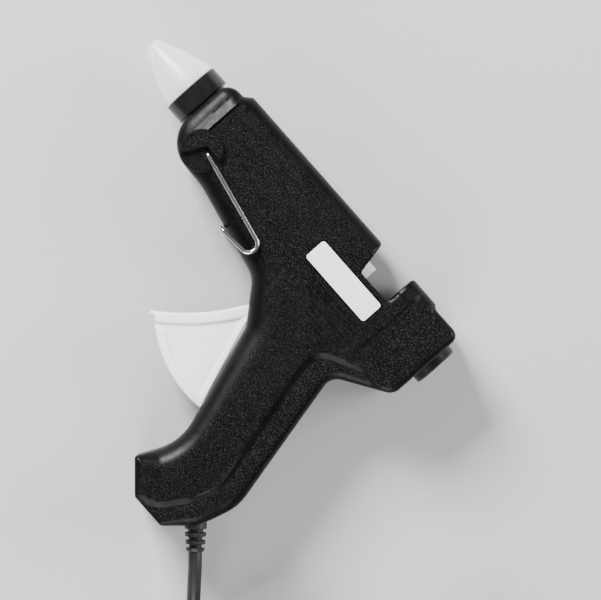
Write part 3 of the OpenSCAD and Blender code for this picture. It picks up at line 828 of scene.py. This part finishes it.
def casing_half(outline, labelled):
    """One half's shell. Its points follow every edge of the relief closely."""
    lines, seeds = [], []
    normals = inward(casing_line)
    for t in (0.03, 0.09, 0.18, 0.3, 0.45, 0.62, 0.8, 1.0, 1.15):
        reach = casing_line[:, 2] * t
        ring = casing_line[:, :2] + normals * reach[:, None]
        d, _ = nearest(ring, casing_line)
        seeds.append(ring[d > reach * 0.97])
    notch = even(notch_line)
    for t in (0.06, 0.25, 0.55, 1.0):
        seeds.append(notch - inward(notch) * NOTCH_ROUND * t)
    grooves = list(rib_boxes()) + [NOSE_GROOVE]
    for centre, size in grooves:
        for grow in (0.02, -0.22):
            lines.append((even(box_line(centre, size, grow)), True))
    if labelled:
        for grow in (0.16, 0.03):
            lines.append((even(box_line(LABEL_AT, LABEL_SIZE, grow, 15)), True))
    along = np.gradient(crease_line, axis=0)
    along /= np.linalg.norm(along, axis=1)[:, None]
    across = np.stack([-along[:, 1], along[:, 0]], 1)
    for offset in (0.0, 0.22, 0.45, 1.0, 1.7, 2.4, 2.8, 3.2):
        line = crease_line + across * offset
        d, _ = nearest(line, crease_line, closed=False)
        seeds.append(line[(d > offset * 0.97) & inside(line, strip_area) | (offset == 0)])
    lines.append((crease_line, False))
    seeds.append(even(FACET, closed=False))
    for x in (REAR_STEP[0], 136.45, 136.8, REAR_STEP[1]):
        lines.append((even(np.array([(x, -19.8), (x, 14.6)]), closed=False), False))
    for x in (NOSE_SLOPE[0], 36.5, NOSE_SLOPE[1], NOSE_END):
        seeds.append(np.stack([np.full(60, x), np.linspace(-19, 12, 60)], 1))
    holes = [] if labelled else [circle(spot, SCREW_HOLE_R, 28) for spot in SCREWS]
    grid = hex_grid((29, -117), (158, 16), 1.7)
    d, carried = nearest(grid, casing_line)
    grid = grid[inside(grid, casing_line) & (d > carried[:, 0] * 1.15 + 0.7)]
    seeds.append(grid)
    seeds = np.concatenate([s[:, :2] for s in seeds])
    seeds = seeds[inside(seeds, outline)]
    d, _ = nearest(seeds, outline)
    clear = d > 0.1
    for centre, size in grooves + ([(LABEL_AT, LABEL_SIZE)] if labelled else []):
        gap = box_distance(seeds, centre, size)
        clear &= (np.abs(gap) > 0.35) | (gap < -0.6)
    for hole in holes:
        clear &= np.hypot(*(seeds - hole.mean(0)).T) > SCREW_HOLE_R + 0.3
    seeds = seeds[clear]

    def low(p):
        edge = casing_low(p)
        for hole in holes:
            edge[np.hypot(*(p - hole.mean(0)).T) < SCREW_HOLE_R + 0.1] = SCREW_FLOOR[1]
        return edge

    return walled(*skin([outline] + holes, lines, seeds,
                        lambda p: casing_height(p, labelled), low), WALL)


BOSS_AT = (42.5, -12.4)
BOSS_R = 8.0
BOSS_LOW = 8.2
DISC_TOP = HALF + 0.22
BOSS_TOP = 18.4
STAND_PIVOT = (44.5, -11.5)


def boss():
    """The stand's round boss, whose upper step is cut away where the wire swings."""
    disc = circle(BOSS_AT, BOSS_R, 64)
    corner = [(STAND_PIVOT[0] - 2.0, STAND_PIVOT[1] + 1.6)]
    step = even(np.concatenate([arc(BOSS_AT, BOSS_R, 236, 14, 40), corner]))
    return joined(prism(disc, BOSS_LOW, DISC_TOP, 0.3), prism(step, HALF - 1, BOSS_TOP, 0.4))


DOT_PITCH = 1.45
DOT_SIDES = 8
# each ring of a dot as (radius, height), and then its top
DOT_RINGS = [(0.36, -0.12), (0.22, 0.15)]
DOT_TOP = 0.2


def grip_dots(outline):
    """Fine raised dots over the back strip of the handle."""
    spots = hex_grid((128, -86), (158, -22.5), DOT_PITCH)
    side, _ = nearest(spots, crease_line, closed=False)
    edge, _ = nearest(spots, casing_line)
    spots = spots[inside(spots, strip_area) & inside(spots, outline) & (side > 3.2) & (edge > 2.2)]
    z = casing_height(spots, False)
    n = DOT_SIDES
    ring = arc((0, 0), 1.0, 0, 360, n)[:-1]
    dome = np.concatenate([np.c_[ring * r, np.full(n, h)] for r, h in DOT_RINGS]
                          + [[(0, 0, DOT_TOP)]])
    faces = [(i, (i + 1) % n, n + (i + 1) % n, n + i) for i in range(n)]
    faces += [(n + i, n + (i + 1) % n, 2 * n) for i in range(n)] + [tuple(range(n - 1, -1, -1))]
    return joined(*[(dome + (x, y, h), faces) for (x, y), h in zip(spots, z)])


def make_casing():
    outline = casing_outline()
    left, right = casing_half(outline, True), casing_half(outline, False)
    dots, lug = grip_dots(outline), boss()
    floors = [prism(circle(s, SCREW_HOLE_R + 0.2, 28), *SCREW_FLOOR) for s in SCREWS]
    piece("casing_left_shell", joined(left, lug), "casing_black", "gun", "casing_left")
    piece("casing_right_shell", mirrored(*joined(right, lug, *floors)),
          "casing_black", "gun", "casing_right")
    # the dots wear the lighter guide_black look instead of the casing's: a painted highlight that
    # makes them read as lighter points
    piece("grip_dots", joined(dots, mirrored(*dots)), "guide_black", "gun")


make_casing()

# ---- nozzle boot: profiles as (x, radius) ----
BOOT_LIP = [(TIP_X + 0.25, 1.5), (TIP_X, 1.75), (TIP_X + 0.1, 2.15), (TIP_X + 0.4, 2.6)]
BOOT_OUT = [(0.5, 3.1), (3.75, 4.9), (7.5, 6.6), (11, 8.1), (15, 9.6), (19, 10.75), (21.3, 11.1)]
BOOT_BACK = [(21.45, 11.0), (21.5, 10.8), (21.5, 9.7), (27, 9.6), (27, 8.25), (21.3, 8.25)]
BOOT_IN = [(15, 7.4), (7.5, 4.7), (3.75, 3.1), (1.5, 1.55)]


def make_boot():
    """A soft cone over the nozzle, with a rolled lip and a collar inside the ring."""
    profile = [*BOOT_LIP, *curved(BOOT_OUT, 5), *BOOT_BACK, *curved(BOOT_IN, 4)]
    piece("silicone_boot", lathe(profile, 128), "boot_silicone", "gun", "nozzle_boot", smooth=50)


make_boot()

# ---- trigger ----
PIVOT = (106.4, -31.0)
REACH = 46.2
RIM_TOP = np.array([95.6, -39.4])
RIM_TIP = np.array([74.4, -66.0])
FINGER_CURVE = 85.0
TRIGGER_HALF = 7.0
TRIGGER_ROUND = 1.1
WEB_DEEP = 1.2
BEAD = np.array([(100.9, -43.0), (112.2, -73.6)])
BEAD_HIGH = 0.5
BEAD_SIDE = (0.35, 0.75)
PIN_HOLE_R = 2.06
LINK_LEAN = 11.0
LINK_Y = -13.5
ARM_HALF = 2.6
ARM_REACH = 3.4
EYE_R = (1.7, 3.4)


def finger_arc(radius, skip_start=0.0, skip_end=0.0):
    """The hollow curve under the finger, from the top of the rim to its tip."""
    u = unit(RIM_TIP - RIM_TOP)
    h = math.sqrt(FINGER_CURVE ** 2 - (np.linalg.norm(RIM_TIP - RIM_TOP) / 2) ** 2)
    centre = (RIM_TOP + RIM_TIP) / 2 + np.array([u[1], -u[0]]) * h
    a0 = math.degrees(math.atan2(*(RIM_TOP - centre)[::-1])) + skip_start
    a1 = math.degrees(math.atan2(*(RIM_TIP - centre)[::-1])) - skip_end
    return arc(centre, radius, a0, a1, 24)


def trigger_web():
    """One half of the finger piece: a sunk web inside a rim, with a bead near the casing."""
    outline = np.concatenate([
        [(99.6, -34), (97.6, -36)], finger_arc(FINGER_CURVE), [(74.8, -67.3)],
        arc(PIVOT, REACH, 230.5, 284.5, 30), [(112.6, -36)], arc(PIVOT, 5.0, 0, 118, 10)])
    outline = even(outline[::-1])
    web = np.concatenate([
        [(99.6, -42.4)], finger_arc(FINGER_CURVE + 3.6, 0.6, 2.2),
        arc(PIVOT, REACH - 3.3, 239, 275.8, 24)])[::-1]
    web = even(web, 0.7)

    def height(p):
        d, _ = nearest(p, outline)
        z = TRIGGER_HALF - TRIGGER_ROUND * round_drop(d / TRIGGER_ROUND)
        d_web, _ = nearest(p, web)
        z -= WEB_DEEP * ramp(np.where(inside(p, web), d_web, -d_web), 0.0, 0.7)
        d_bead, _ = nearest(p, BEAD, closed=False)
        return z + BEAD_HIGH * (1 - ramp(d_bead, *BEAD_SIDE))

    seeds = [outline + inward(outline) * TRIGGER_ROUND * t
             for t in (0.05, 0.18, 0.4, 0.7, 1.0, 1.4)]
    seeds += [web + inward(web) * s for s in (0.0, 0.2, 0.4, 0.7, 1.1)]
    u = unit(BEAD[1] - BEAD[0])
    for s in (-0.75, -0.55, -0.35, 0.35, 0.55, 0.75):
        seeds.append(even(BEAD + s * np.array([-u[1], u[0]]), closed=False))
    grid = hex_grid((74, -78), (120, -26), 1.5)
    d, _ = nearest(grid, outline)
    d_web, _ = nearest(grid, web)
    d_bead, _ = nearest(grid, BEAD, closed=False)
    seeds.append(grid[inside(grid, outline) & (d > 2) & (d_web > 1.4) & (d_bead > 1.2)])
    seeds = np.concatenate(seeds)
    d, _ = nearest(seeds, outline)
    seeds = seeds[inside(seeds, outline) & (d > 0.04)]
    seeds = seeds[np.hypot(*(seeds - PIVOT).T) > PIN_HOLE_R + 0.44]
    return skin([outline, circle(PIVOT, PIN_HOLE_R, 28)], [], seeds, height)


def make_trigger():
    """The finger piece, its arm up to the link pin, and the arm's eye."""
    lean = math.radians(LINK_LEAN)
    link_x = PIVOT[0] + (LINK_Y - PIVOT[1]) * math.tan(lean)
    reach = (LINK_Y - PIVOT[1]) / math.cos(lean)
    along = np.array([math.sin(lean), math.cos(lean)])
    across = np.array([math.cos(lean), -math.sin(lean)])
    arm = np.array([PIVOT + across * s + along * v
                    for s, v in ((-ARM_REACH, 2), (-ARM_REACH, reach - 1.8),
                                 (ARM_REACH, reach - 1.8), (ARM_REACH, 2))])
    gusset = [(106, -27), (110, -19.6), (113.4, -19.6), (113.4, -23.4), (110, -29)]
    half = joined(trigger_web(), prism(even(arm, 2), 0, ARM_HALF, 0.3), prism(gusset, 0, ARM_HALF))
    bore, rim = EYE_R
    eye, eye_faces = lathe([(-ARM_HALF, bore), (-ARM_HALF, rim), (ARM_HALF, rim), (ARM_HALF, bore)],
                           40)
    eye = eye[:, [1, 2, 0]] + [link_x, LINK_Y, 0]
    piece("trigger_lever", joined(half, mirrored(*half), (eye, eye_faces)),
          "trigger_white", "trigger", "trigger")


make_trigger()

# ---- stand ----
WIRE_R = 0.85
PIN_Z = 12.5
LEG_Z = 17.2
HOOK_CENTRE = (80, -22.15)
HOOK_R = 3.26
FOOT = (69, -26.1)
KNEE_BEND = 1.6
FOOT_BEND = 1.8


def fillet(a, b, c, radius, count):
    """Points of the bend of that radius at b, between a and c."""
    a, b, c = (np.array(p, float) for p in (a, b, c))
    u, v = unit(a - b), unit(c - b)
    half = math.acos(u @ v) / 2
    centre = b + unit(u + v) * radius / math.sin(half)
    p = b + u * radius / math.tan(half) - centre
    q = b + v * radius / math.tan(half) - centre
    return [centre + radius * unit(p * (1 - k / count) + q * k / count) for k in range(count + 1)]


def make_stand():
    """One bent wire: a pin, a leg and a hook on each side, and a bar across."""
    pin = (*STAND_PIVOT, PIN_Z)
    knee = (*STAND_PIVOT, LEG_Z)
    hook = [(*p, LEG_Z) for p in arc(HOOK_CENTRE, HOOK_R, 80, -94, 24)]
    foot = (*FOOT, LEG_Z)
    half = np.array([pin, *fillet(pin, knee, hook[0], KNEE_BEND, 8), *hook,
                     *fillet(hook[-1], foot, (*FOOT, 0), FOOT_BEND, 8)])
    stand = wire("stand", np.concatenate([half, half[::-1] * [1, 1, -1]]), WIRE_R,
                 "stand_steel", "stand", sides=5)
    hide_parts("stand_wire")


make_stand()


# ---- label, strain relief ----
LABEL_BORDER = 0.35
# the dark plate and the foil on it, as (low, high, bevel)
LABEL_PLATE = (HALF - 0.4, HALF - 0.12, 0.05)
LABEL_FOIL = (HALF - 0.3, HALF - 0.06, 0.04)


def make_label():
    """A blank foil label in its recess, with a thin dark border."""
    plate = prism(box_line(LABEL_AT, LABEL_SIZE, 0, 10), *LABEL_PLATE)
    piece("label_edge", plate, "casing_black", "gun")
    face = prism(box_line(LABEL_AT, LABEL_SIZE, -LABEL_BORDER, 10), *LABEL_FOIL)
    piece("label_face", face, "label_silver", "gun", "rating_label")


make_label()

RELIEF_OUT = 10.0
RELIEF_BORE_R = 1.2
RELIEF_R = 4.2
RELIEF_TAPER = 0.09
RELIEF_GROOVES = 3


def on_heel(points):
    """From the strain relief's own frame, x out along the cord, to the shared frame."""
    return at(spun(points, HEEL_ANGLE) + (*HEEL, 0))


def make_relief():
    """A tapered sleeve with deep grooves, flanged inside the heel."""
    profile = [(-20, RELIEF_BORE_R), (-20, 2.6), (-12, 2.6), (-12, 3.6), (-7, 3.6), (-7, 5),
               (-4.4, 5), (-4.4, RELIEF_R), (0, RELIEF_R)]
    for k in range(RELIEF_GROOVES):
        x = 1.3 + 2.9 * k
        r = RELIEF_R - RELIEF_TAPER * x
        profile += [(x, r + 0.1), (x + 0.2, r - 0.15), (x + 0.3, r - 1.1), (x + 1.3, r - 1.15),
                    (x + 1.4, r - 0.25), (x + 1.6, r)]
    profile += [(RELIEF_OUT - 0.3, 3.3), (RELIEF_OUT, 3.0), (RELIEF_OUT, RELIEF_BORE_R)]
    piece("cord_sleeve", lathe(profile, 64), "relief_black", "gun", "strain_relief", place=on_heel)


make_relief()


# ---- the rest of the frame, floor and light ----
def dress_frame():
    """Gives every CAD node the look of its own material slot."""
    for part in frame["record"]["subparts"]:
        node = frame["nodes"][part["node"]]
        node.data.materials.clear()
        node.data.materials.append(LOOKS[part["material_slot"]])


FLOOR_HALF = 6.0
FLOOR_GREYS = (0.46, 0.49)
LIGHT_AIM = (0, 0, 0.02)
WORLD_COLOUR = (0.95, 0.97, 1.0, 1)
WORLD_STRENGTH = 0.3


def make_floor():
    """A plain pale floor, a little cloudy."""
    n = Nodes("floor_white")
    cloud = n.spread(n.noise(3, 2), 0.3, 0.7)
    look = n.finish(Base_Color=n.mix(cloud, *map(grey, FLOOR_GREYS)), Roughness=0.9)
    mesh = bpy.data.meshes.new("floor")
    s = FLOOR_HALF
    mesh.from_pydata([(-s, -s, 0), (s, -s, 0), (s, s, 0), (-s, s, 0)], [], [(0, 1, 2, 3)])
    mesh.materials.append(look)
    add_object("floor", mesh)


def light(name, place, size, power):
    """A square lamp of that size in metres and power in watts, turned to the object."""
    data = bpy.data.lights.new(name, "AREA")
    data.size = size
    data.energy = power
    lamp = add_object(name, data)
    lamp.location = place
    lamp.rotation_euler = (Vector(LIGHT_AIM) - Vector(place)).to_track_quat("-Z", "Y").to_euler()


def make_lights():
    world = bpy.data.worlds.new("studio")
    bpy.context.scene.world = world
    world.use_nodes = True
    background = world.node_tree.nodes["Background"]
    background.inputs["Color"].default_value = WORLD_COLOUR
    background.inputs["Strength"].default_value = WORLD_STRENGTH
    light("key", (-1.05, 0.22, 0.82), 0.5, 62.0)
    light("fill", (0.85, -1.0, 0.7), 0.9, 24.0)
    light("back", (0.65, 1.1, 0.65), 0.7, 20.0)


dress_frame()
make_floor()
make_lights()
